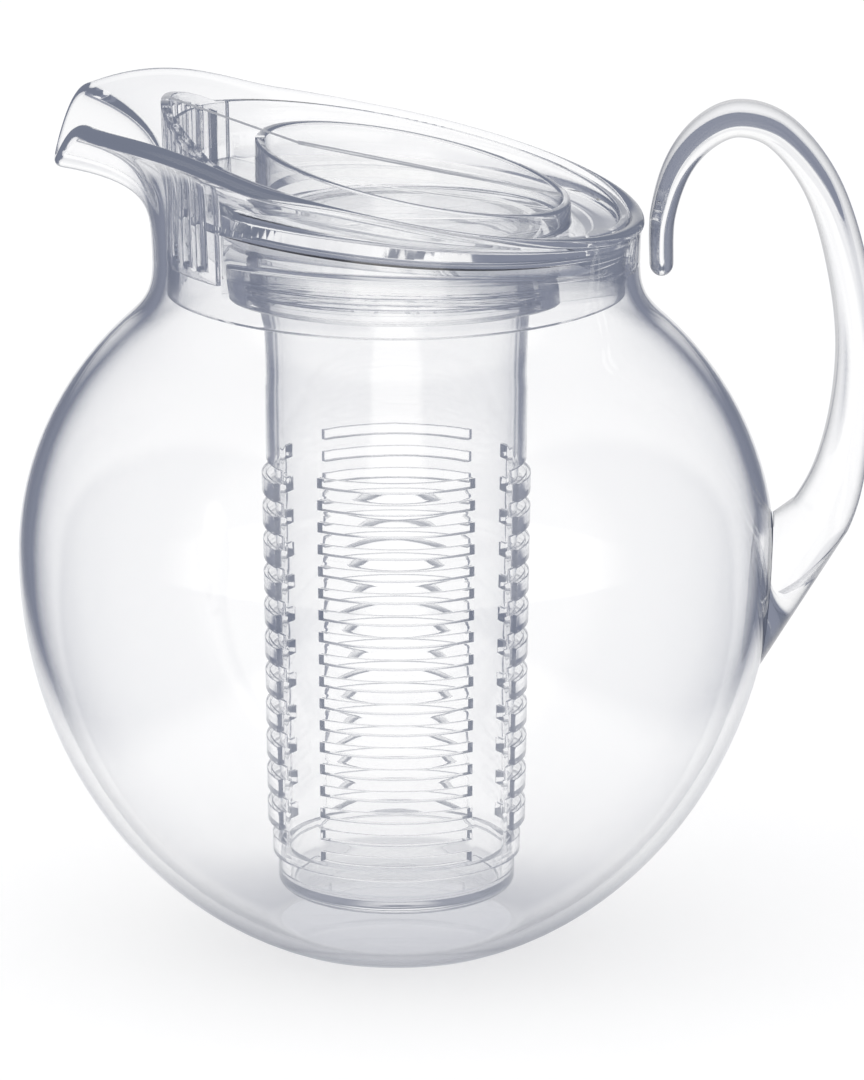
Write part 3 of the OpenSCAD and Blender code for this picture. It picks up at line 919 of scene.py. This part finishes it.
@dataclass
class Lid:
    """The lid that drops into the neck: skirt and plate, slotted pour guard, grip, cap and its socket."""

    jug: Jug
    # The skirt and its plate: play in the neck, wall, and how far they lie below the waist and the rim
    lid_gap: float = 0.45
    lid_t: float = 2.2
    skirt_below: float = 6.5
    lid_sunk: float = 1
    plate_drop: float = 9.6
    plate_tilt: float = 5.1
    # The guard, which rises to a point at the spout, its slots and the frame round them
    guard_half: float = 41
    guard_rise: float = 16.6
    guard_tilt: float = 36.3
    guard_slots: int = 12
    guard_slot_w: float = 2.4
    guard_frame: float = 2.6
    guard_edge: float = 3
    guard_foot: float = 2.5
    # The grip's fin, web and rail
    grip_t: float = 2.4
    fin_tilt: float = 19.8
    fin_drop: float = 3
    web_rise: float = 0.6
    rail_t: float = 4
    rail_left: float = 8
    rail_right: float = 3.6
    # The cap: the recess, set off towards the handle, and the socket under it
    recess_r: float = 37.5
    recess_off: float = 4
    recess_deep: float = 3.6
    socket_r: float = 34.5
    socket_t: float = 4
    socket_h: float = 14
    thread_z: float = 168.3
    bond_gap: float = 0.08
    # Radii of the rounded edges: of the moulding, the guard, the grip and the socket's mouth
    round_r: float = 0.7
    guard_round: float = 0.45
    grip_round: float = 0.4
    mouth_round: float = 2.5
    # Steps across the room that is cut for the guard
    room_steps: int = 40
    # Lines up the guard: 0 is its foot, 1 and 2 the ends of its slots and 3 its top
    guard_lines: tuple[float, ...] = (0, 1, 1.25, 1.5, 1.75, 2, 3)
    # Points this close to the recess's wall belong to it, first on the plate and then on the socket's ledge
    hole_reach: float = 1
    ledge_reach: float = 0.5
    # Moulded in a press, so its waves are shorter, and thin, so its edges are paler, their grey being its own
    # tint and painted shade
    finish: ClearAcrylic = ClearAcrylic("moulded_acrylic", wave_mm=14.0, edge="#7A8193")

    def skirt_r(self, z: float) -> float:
        """Outer radius of the skirt."""
        jug = self.jug
        return jug.neck_r - jug.wall - self.lid_gap + (z - jug.waist_z) * tan(jug.neck_draft)

    def skirt_in(self, z: float) -> float:
        """Inner radius of the skirt."""
        return self.skirt_r(z) - self.lid_t

    @property
    def top_z(self) -> float:
        """Height of the skirt's slanted top on the axis."""
        return self.jug.rim_z - self.lid_sunk

    @property
    def plate_z(self) -> float:
        """Height of the plate's top on the axis."""
        return self.jug.rim_z - self.plate_drop

    @property
    def recess_z(self) -> float:
        """Height of the recess's floor."""
        return self.plate_z - self.recess_deep

    @property
    def guard_low_z(self) -> float:
        """Height of the guard's foot."""
        return self.jug.waist_z + self.guard_foot

    def guard_top(self, a: float) -> float:
        """Height of the guard's slanted top.

        Args:
            a: Angle from the spout, in degrees.

        Returns:
            The height at the wall's middle.
        """
        r = self.skirt_r(self.jug.rim_z) - self.lid_t / 2
        top = self.jug.rim_z + self.guard_rise
        steep = top - (self.skirt_r(self.jug.rim_z) - r * cos(a)) * tan(self.guard_tilt)
        return max(steep, self.top_z + r * cos(a) * tan(self.jug.rim_tilt))

    def moulding(self) -> bpy.types.Object:
        """Builds the skirt with its plate, as one revolved section whose top and plate are then slanted.

        Returns:
            The piece.
        """
        skirt_z = self.jug.waist_z - self.skirt_below
        hole_r = self.recess_r + self.bond_gap
        top, plate, under, r = self.top_z, self.plate_z, self.plate_z - self.lid_t, self.round_r
        profile = [Vector((self.skirt_r(skirt_z), skirt_z + r)), Vector((self.skirt_r(top), top - r))]
        profile += arc((self.skirt_r(top) - r, top - r), r, 0)[1:]
        profile += arc((self.skirt_in(top) + r, top - r), r, QUARTER_TURN)
        profile += [Vector((self.skirt_in(plate), plate)), Vector((hole_r, plate)), Vector((hole_r, under))]
        profile += [Vector((self.skirt_in(under), under))]
        profile += arc((self.skirt_in(skirt_z) + r, skirt_z + r), r, HALF_TURN)
        profile += arc((self.skirt_r(skirt_z) - r, skirt_z + r), r, -QUARTER_TURN)[:-1]
        piece = revolved("lid_moulding", profile, True)
        move_points(piece, self._slanted)
        room = Lattice(
            across=[
                HALF_TURN + mix(-self.guard_half, self.guard_half, i / self.room_steps)
                for i in range(self.room_steps + 1)
            ],
            up=[self.guard_low_z, self.top_z + self.guard_rise],
            thick=self.lid_t + 2 * self.bond_gap,
            is_open=lambda a, z: False,
            wrap=lambda a, z, d: around(self.skirt_r(z) + d + self.bond_gap, a, z),
        ).build("guard_room", 0)
        combine(piece, room, "DIFFERENCE")
        tidy(piece)
        return piece

    def _slanted(self, p: Vector) -> Vector:
        """Moves a point of the revolved lid to the slant of the rim or of the plate."""
        r = math.hypot(p.x, p.y)
        if p.z > self.top_z - 2 * self.round_r:
            return Vector((p.x, p.y, p.z - p.x * tan(self.jug.rim_tilt)))
        if p.z < self.recess_z:
            return p
        if r < self.recess_r + self.hole_reach:
            x = p.x + self.recess_off
            return Vector((x, p.y, p.z - x * tan(self.plate_tilt)))
        z = p.z - p.x * tan(self.plate_tilt)
        grow = self.skirt_in(z) / r
        return Vector((p.x * grow, p.y * grow, z))

    def guard(self) -> bpy.types.Object:
        """Builds the slotted guard.

        Returns:
            The piece.
        """
        arc_half = self.guard_half - self.guard_edge
        pitch = 2 * arc_half / self.guard_slots
        slot_half = math.degrees(self.guard_slot_w / 2 / self.skirt_r(self.jug.rim_z))
        centres = [(i - (self.guard_slots - 1) / 2) * pitch for i in range(self.guard_slots)]
        lines = [-self.guard_half, self.guard_half, 0.0]
        for c in centres:
            lines += [c - slot_half, c, c + slot_half]
        across = sorted(lines)

        def height(a: float, s: float) -> float:
            """Height of a line of the grid: foot, frame's inner edges and top."""
            top = self.guard_top(a)
            if s <= 1:
                return mix(self.guard_low_z, self.guard_low_z + self.guard_frame, s)
            if s <= 2:
                return mix(self.guard_low_z + self.guard_frame, top - self.guard_frame, s - 1)
            return mix(top - self.guard_frame, top, s - 2)

        return Lattice(
            across=across,
            up=self.guard_lines,
            thick=self.lid_t,
            is_open=lambda a, s: 1 < s < 2 and any(abs(a - c) < slot_half for c in centres),
            wrap=lambda a, s, d: around(self.skirt_r(height(a, s)) + d, HALF_TURN + a, height(a, s)),
        ).build("guard_wall", self.guard_round)

    def grip(self) -> bpy.types.Object:
        """Builds the grip: a fin on the plate, a web across the recess and a rail along the web.

        Returns:
            The piece.
        """
        jug, gap = self.jug, self.bond_gap
        floor = self.recess_z + gap
        steep, rim = tan(self.fin_tilt), tan(jug.rim_tilt)

        def web(x: float) -> float:
            """Height of the web's top edge."""
            return jug.rim_plane(x) + self.web_rise

        def plate(x: float) -> float:
            """Height of the plate's top, with room for the bond."""
            return self.plate_z - x * tan(self.plate_tilt) + gap

        high_x = gap - self.skirt_in(jug.rim_z + self.guard_rise)
        low_x = gap - self.skirt_in(self.plate_z)
        turn = -(self.fin_drop + self.web_rise) / (steep - rim)
        wall_out = self.recess_off - self.recess_r - gap
        wall_in = self.recess_off - self.recess_r + self.lid_t + gap
        right = self.recess_off + self.recess_r - self.lid_t - gap
        piece = upright_plate(
            "grip_plate",
            [
                (low_x, plate(low_x)),
                (wall_out, plate(wall_out)),
                (wall_out, jug.rim_plane(wall_out) + gap),
                (wall_in, jug.rim_plane(wall_out) + gap),
                (wall_in, floor),
                (right, floor),
                (right, web(right)),
                (turn, web(turn)),
                (high_x, jug.rim_z - self.fin_drop - high_x * steep),
            ],
            self.grip_t,
        )
        rail = upright_plate(
            "grip_rail",
            [
                (turn, web(turn) - self.rail_left),
                (right, web(right) - self.rail_right),
                (right, web(right)),
                (turn, web(turn)),
            ],
            self.rail_t,
        )
        combine(piece, rail, "UNION")
        tidy(piece)
        apply_modifier(piece, "TRIANGULATE")
        round_edges(piece, self.grip_round)
        smooth(piece)
        return piece

    def cap(self) -> bpy.types.Object:
        """Builds the cup with its recess above and its threaded socket below.

        Returns:
            The piece.
        """
        top, floor, r, big = self.jug.rim_z, self.recess_z, self.round_r, self.mouth_round
        roof, mouth = floor - self.lid_t, floor - self.lid_t - self.socket_h
        out_r = self.socket_r + self.socket_t
        profile = [Vector((0, roof)), Vector((self.socket_r, roof))]
        for i in (1, 0):
            profile += thread_ridge(self.socket_r, self.thread_z + (i - 0.5) * THREAD_PITCH, -1)
        profile += arc((self.socket_r + r, mouth + r), r, HALF_TURN)
        profile += arc((out_r - big, mouth + big), big, -QUARTER_TURN, steps=7)
        profile += [Vector((out_r, floor)), Vector((self.recess_r, floor))]
        profile += arc((self.recess_r - r, top - r), r, 0)
        profile += arc((self.recess_r - self.lid_t + r, top - r), r, QUARTER_TURN)
        profile += arc((self.recess_r - self.lid_t - r, floor + r), r, 0, -QUARTER_TURN)
        profile += [Vector((0, floor))]
        piece = revolved("cap_cup", profile, False)
        mid_z = (floor + roof) / 2
        move_points(piece, lambda p: self._cupped(p, mid_z))
        tidy(piece)
        smooth(piece)
        return piece

    def _cupped(self, p: Vector, mid_z: float) -> Vector:
        """Moves a point of the revolved cap: the recess off the axis, top and ledge to their slants."""
        r = math.hypot(p.x, p.y)
        if p.z > self.jug.rim_z - 2 * self.round_r:
            x = p.x + self.recess_off
            return Vector((x, p.y, p.z - x * tan(self.jug.rim_tilt)))
        if abs(p.z - self.recess_z) < WELD_MM and r > self.recess_r - WELD_MM:
            x = p.x + (self.recess_off if r < self.recess_r + self.ledge_reach else 0)
            ledge = mid_z - (self.recess_z - mid_z) * p.x / r
            return Vector((x, p.y, ledge))
        if p.z > self.recess_z - WELD_MM:
            return Vector((p.x + self.recess_off, p.y, p.z))
        return p

    def build(self) -> list[bpy.types.Object]:
        """Builds the lid's pieces.

        Returns:
            The pieces.
        """
        moulding = self.moulding()
        smooth(moulding)
        made = [(moulding, "lid_body"), (self.guard(), "pour_guard"), (self.grip(), "lid_grip")]
        made.append((self.cap(), "infuser_cap"))
        return [dress(piece, self.finish, Body.LID, Slot.LID, node) for piece, node in made]


@dataclass
class Infuser:
    """The tapered tube with its slots and ribs, the threaded collar at its top and the closed foot."""

    # The tube narrows by its draft from the collar to the foot
    tube_r: float = 31.6
    tube_draft: float = 1.9
    tube_t: float = 2
    collar_t: float = 1.4
    collar_z: float = 162.1
    collar_h: float = 12.4
    thread_turns: int = 2
    foot_z: float = 13.1
    foot_h: float = 8.9
    foot_r: float = 28.4
    foot_floor: float = 2.6
    spigot_h: float = 2
    # The tube is plain this far below the collar, and slotted from there down
    plain_h: float = 41
    front_rows: int = 18
    side_rows: int = 12
    front_slot_h: float = 2.4
    side_slot_h: float = 3.2
    front_half: float = 37
    side_half: float = 28
    rib_out: float = 1.1
    rib_share: float = 0.9
    bond_gap: float = 0.06
    # Radii of the rounded edges: of the slots, the collar, and the foot's underside, shoulder and inside
    slot_round: float = 0.28
    collar_round: float = 0.4
    foot_round: float = 2.5
    shoulder_round: float = 0.3
    inside_round: float = 2
    # Degrees between the tube's lines, and between such a line and one of a slot's at the least
    fine_angle: int = 3
    least_angle: int = 1
    # Moulded as the lid is, with its waves a little shorter still, and with the same edge grey of its own tint
    # and painted shade
    finish: ClearAcrylic = ClearAcrylic("infuser_acrylic", wave_mm=12.0, edge="#7A8193")

    @property
    def tube_z(self) -> float:
        """Height of the tube's lower end."""
        return self.foot_z + self.foot_h

    def tube_at(self, z: float) -> float:
        """Outer radius of the tube at a height."""
        return self.tube_r - self.tube_draft * max(0, self.collar_z - z) / (self.collar_z - self.tube_z)

    def slots(self, rows: int, h: float) -> list[tuple[float, float]]:
        """Lower and upper edges of the slots in a column.

        Args:
            rows: Number of slots.
            h: Height of one.

        Returns:
            The edges' heights.
        """
        low, high = self.tube_z + self.spigot_h, self.collar_z - self.plain_h
        pitch = (high - low) / rows
        return [(low + (i + 0.5) * pitch - h / 2, low + (i + 0.5) * pitch + h / 2) for i in range(rows)]

    def tube(self) -> bpy.types.Object:
        """Builds the slotted tube.

        Returns:
            The piece.
        """
        front = self.slots(self.front_rows, self.front_slot_h)
        side = self.slots(self.side_rows, self.side_slot_h)
        top = self.collar_z + self.collar_h
        ribs = []
        for below, above in zip(side, side[1:]):
            spare = (above[0] - below[1]) * (1 - self.rib_share) / 2
            ribs.append((below[1] + spare, above[0] - spare))
        up = {self.tube_z, self.collar_z, top}
        for low, high in front + side + ribs:
            up |= {round(low, 4), round(high, 4)}
        across = {0.0, float(TURN)}
        rib_half = self.side_half * self.rib_share
        for middle, half in ((0, self.side_half), (QUARTER_TURN, self.front_half), (0, rib_half)):
            for turn in (0, HALF_TURN, TURN):
                across |= {middle + turn - half, middle + turn + half}
        fine = (float(a) for a in range(0, TURN, self.fine_angle))
        fine = {a for a in fine if min(abs(a - b) for b in across) > self.least_angle}
        across = sorted(a for a in across | fine if 0 <= a <= TURN)

        def from_side(a: float) -> float:
            """How far an angle is from the middle of a side column."""
            return abs((a + QUARTER_TURN) % HALF_TURN - QUARTER_TURN)

        def within(z: float, spans: list[tuple[float, float]]) -> bool:
            """Whether a height lies in one of several spans."""
            return any(low < z < high for low, high in spans)

        def is_open(a: float, z: float) -> bool:
            """Whether a cell lies in a slot."""
            if from_side(a) < self.side_half:
                return within(z, side)
            return QUARTER_TURN - from_side(a) < self.front_half and within(z, front)

        return Lattice(
            across=across,
            up=sorted(up),
            thick=self.tube_t,
            is_open=is_open,
            wrap=lambda a, z, d: around(self.tube_at(z) + d, a, z),
            is_rib=lambda a, z: from_side(a) < rib_half and within(z, ribs),
            rib_out=self.rib_out,
        ).build("infuser_sleeve", self.slot_round)

    def collar(self) -> bpy.types.Object:
        """Builds the ring that carries the thread.

        Returns:
            The piece.
        """
        inner, outer = self.tube_r + self.bond_gap, self.tube_r + self.collar_t
        low, high, r = self.collar_z, self.collar_z + self.collar_h, self.collar_round
        profile = [Vector((inner, low))] + arc((outer - r, low + r), r, -QUARTER_TURN, steps=3)
        for i in range(self.thread_turns):
            profile += thread_ridge(outer, (low + high) / 2 + (i - self.thread_turns / 2) * THREAD_PITCH, 1)
        profile += arc((outer - r, high - r), r, 0, steps=3) + [Vector((inner, high))]
        piece = revolved("infuser_thread_ring", profile, True)
        smooth(piece)
        return piece

    def base(self) -> bpy.types.Object:
        """Builds the closed foot.

        Returns:
            The piece.
        """
        spigot = self.tube_at(self.tube_z) - self.tube_t - 2 * self.bond_gap
        inside = spigot - self.tube_t
        low, floor, top = self.foot_z, self.foot_z + self.foot_floor, self.tube_z - self.bond_gap
        under, over, r = self.foot_round, self.shoulder_round, self.inside_round
        profile = [Vector((0, low))] + arc((self.foot_r - under, low + under), under, -QUARTER_TURN, steps=8)
        profile += arc((self.foot_r - over, top - over), over, 0, steps=2)
        profile += [Vector((spigot, top)), Vector((spigot, self.tube_z + self.spigot_h))]
        profile += [Vector((inside, self.tube_z + self.spigot_h))]
        profile += arc((inside - r, floor + r), r, 0, -QUARTER_TURN, 6) + [Vector((0, floor))]
        piece = revolved("infuser_cup", profile, False)
        smooth(piece)
        return piece

    def build(self) -> list[bpy.types.Object]:
        """Builds the infuser's pieces.

        Returns:
            The pieces.
        """
        made = [(self.collar(), "infuser_collar"), (self.tube(), "infuser_tube")]
        made.append((self.base(), "infuser_base"))
        return [dress(piece, self.finish, Body.INFUSER, Slot.INFUSER, node) for piece, node in made]


@dataclass
class Studio:
    """A pale floor, soft light and the camera at the photograph's angle."""

    # The view's middle, and the angle from which it is seen
    aim: tuple[float, float, float] = (8.5, 0.0, 98.1)
    elevation: float = 14.6
    distance: float = 4200.0
    frame_width: float = 206.2
    sensor: float = 36.0
    # The camera sees nothing past this many metres
    reach_m: float = 100.0
    floor_size: float = 9000.0
    paint: str = "#BCBCBD"
    # What the floor is lifted by where it is seen, so that it shows white and keeps a faint shadow
    lift: float = 0.55
    # The white sweep behind and in front, the dim room at the sides and above, and the light over all
    sweep: str = "#FFFFFF"
    room: str = "#868B9B"
    light: float = 0.9
    # How much of the dim room shows straight through a clear piece, beside what shows by reflection inside it
    straight: float = 0.2
    # Where the sweep ends on each side, softly, for what the clear pieces show, and how it widens to the back
    sweep_middle: float = 8.0
    sweep_half: float = 122.0
    sweep_soft: float = 60.0
    sweep_opening: float = 0.12
    # Radii between which the painted shadow under the pitcher fades out, grey on the floor where its clear
    # foot shows it, and its depth
    painted_shadow_from: float = 30.0
    painted_shadow_to: float = 82.0
    under: float = 0.4
    # How far along Y a way points where the sweep behind and the one in front set in, and where they are full
    sweep_ways: tuple[tuple[float, float], ...] = ((0.92, 0.985), (-0.15, -0.5))
    # The lamp that gives the soft shadow
    lamp_place: tuple[float, float, float] = (-700, -500, 900)
    lamp_size: float = 500
    lamp_watts: float = 3
    # Crossings and reflections that a ray may have in all, so that no clear wall turns black
    bounces: int = 48

    def camera(self) -> None:
        """Adds the camera."""
        data = bpy.data.cameras.new("camera")
        data.sensor_fit = "HORIZONTAL"
        data.sensor_width = self.sensor
        data.lens = self.sensor * self.distance / self.frame_width
        data.clip_end = self.reach_m
        camera = bpy.data.objects.new("camera", data)
        away = Vector((0, -cos(self.elevation), sin(self.elevation))) * self.distance
        camera.location = (Vector(self.aim) + away) * MM
        camera.rotation_euler = (math.radians(QUARTER_TURN - self.elevation), 0, 0)
        bpy.context.scene.collection.objects.link(camera)
        bpy.context.scene.camera = camera

    def floor(self) -> None:
        """Adds the floor."""
        piece = fresh("floor", bpy.ops.mesh.primitive_plane_add, size=self.floor_size * MM)
        mat = bpy.data.materials.new("painted_floor")
        nodes = Shading(mat)
        paint = nodes.add("BsdfDiffuse", {"Color": srgb(self.paint)}).outputs[0]
        path = nodes.add("LightPath").outputs
        lift = nodes.calc("MULTIPLY", nodes.greatest(*(path[name] for name in SEEN_BY)), self.lift)
        lit = nodes.add("AddShader", {0: paint, 1: nodes.glow(self.sweep, lift)}).outputs[0]
        place = nodes.add("TexCoord").outputs["Object"]
        axes = nodes.add("SeparateXYZ", {0: place}).outputs
        off = nodes.calc("ABSOLUTE", nodes.calc("SUBTRACT", axes["X"], self.sweep_middle * MM))
        off = nodes.calc("MULTIPLY_ADD", nodes.calc("ABSOLUTE", axes["Y"]), -self.sweep_opening, off)
        ends = (self.sweep_half * MM, (self.sweep_half + self.sweep_soft) * MM)
        past = nodes.ramp(off, *ends, high=self._dim(nodes, path["Glossy Depth"]))
        # Painted shadow: rays that pass through or off the clear pieces see the floor grey under the pitcher
        away = nodes.add("VectorMath", {0: place}, operation="LENGTH").outputs["Value"]
        below = nodes.ramp(away, self.painted_shadow_to * MM, self.painted_shadow_from * MM, high=self.under)
        clear = nodes.greatest(*(path[name] for name in SEEN_BY[1:]))
        share = nodes.calc("MULTIPLY", nodes.greatest(past, below), clear)
        nodes.add("OutputMaterial", {"Surface": nodes.cover(share, lit, nodes.glow(self.room))})
        piece.data.materials.append(mat)

    def _dim(self, nodes: Shading, reflected: bpy.types.NodeSocket) -> bpy.types.NodeSocket:
        """Gives how much of the dim room a ray shows: a little, and all of it once it was reflected."""
        return nodes.ramp(reflected, 0, 1, self.straight, soft=False)

    def lamp(self) -> None:
        """Adds the soft square lamp, which looks at the pitcher and shows in no clear piece."""
        data = bpy.data.lights.new("key", "AREA")
        data.size = self.lamp_size * MM
        data.energy = self.lamp_watts
        lamp = bpy.data.objects.new("key", data)
        lamp.location = Vector(self.lamp_place) * MM
        away = Vector(self.lamp_place) - Vector(self.aim)
        lamp.rotation_euler = away.to_track_quat("Z", "Y").to_euler()
        lamp.visible_glossy = False
        lamp.visible_transmission = False
        bpy.context.scene.collection.objects.link(lamp)

    def world(self) -> None:
        """Sets the surroundings: matt surfaces get even light, clear ones show the sweep and the dim room."""
        world = bpy.data.worlds.new("studio")
        bpy.context.scene.world = world
        nodes = Shading(world)
        way = nodes.add("TexCoord").outputs["Generated"]
        along = nodes.add("SeparateXYZ", {0: way}).outputs["Y"]
        path = nodes.add("LightPath").outputs
        white = [nodes.calc("SUBTRACT", 1, self._dim(nodes, path["Glossy Depth"]))]
        white += [nodes.ramp(along, *ends) for ends in self.sweep_ways]
        seen = nodes.blend(nodes.greatest(*white), srgb(self.room), srgb(self.sweep))
        clear = nodes.greatest(*(path[name] for name in SEEN_BY[1:]))
        colour = nodes.blend(clear, srgb(self.sweep), seen)
        strength = nodes.ramp(nodes.greatest(path[SEEN_BY[0]], clear), 0, 1, self.light, soft=False)
        sky = nodes.add("Background", {"Color": colour, "Strength": strength}).outputs[0]
        nodes.add("OutputWorld", {"Surface": sky})

    def build(self) -> None:
        """Builds the studio."""
        self.camera()
        self.floor()
        self.world()
        self.lamp()
        scene = bpy.context.scene
        scene.view_settings.view_transform = "Standard"
        scene.cycles.max_bounces = self.bounces
        scene.cycles.glossy_bounces = self.bounces
        scene.cycles.transmission_bounces = self.bounces
        scene.cycles.transparent_max_bounces = self.bounces


MATERIALS: dict[str, bpy.types.Material] = {}


def dress(
    piece: bpy.types.Object, finish: ClearAcrylic, body: Body, slot: Slot, node: str
) -> bpy.types.Object:
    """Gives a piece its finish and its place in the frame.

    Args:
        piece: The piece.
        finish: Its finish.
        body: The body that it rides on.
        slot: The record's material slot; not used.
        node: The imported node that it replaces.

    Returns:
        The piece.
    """
    if finish.name not in MATERIALS:
        MATERIALS[finish.name] = finish.material()
    piece.data.materials.clear()
    piece.data.materials.append(MATERIALS[finish.name])
    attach(piece, body.value)
    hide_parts(node)
    LOG.info("%s: %d faces, rides on %s", piece.name, len(piece.data.polygons), body.value)
    return piece


def main() -> None:
    """Builds the pitcher's pieces and the studio in order."""
    logging.basicConfig(level=logging.INFO, format="%(message)s")
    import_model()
    jug = Jug()
    for maker in (jug, Handle(jug), Lid(jug), Infuser()):
        pieces = maker.build()
        LOG.info("%s: %s", type(maker).__name__, ", ".join(piece.name for piece in pieces))
    Studio().build()


if __name__ == "__main__":
    main()
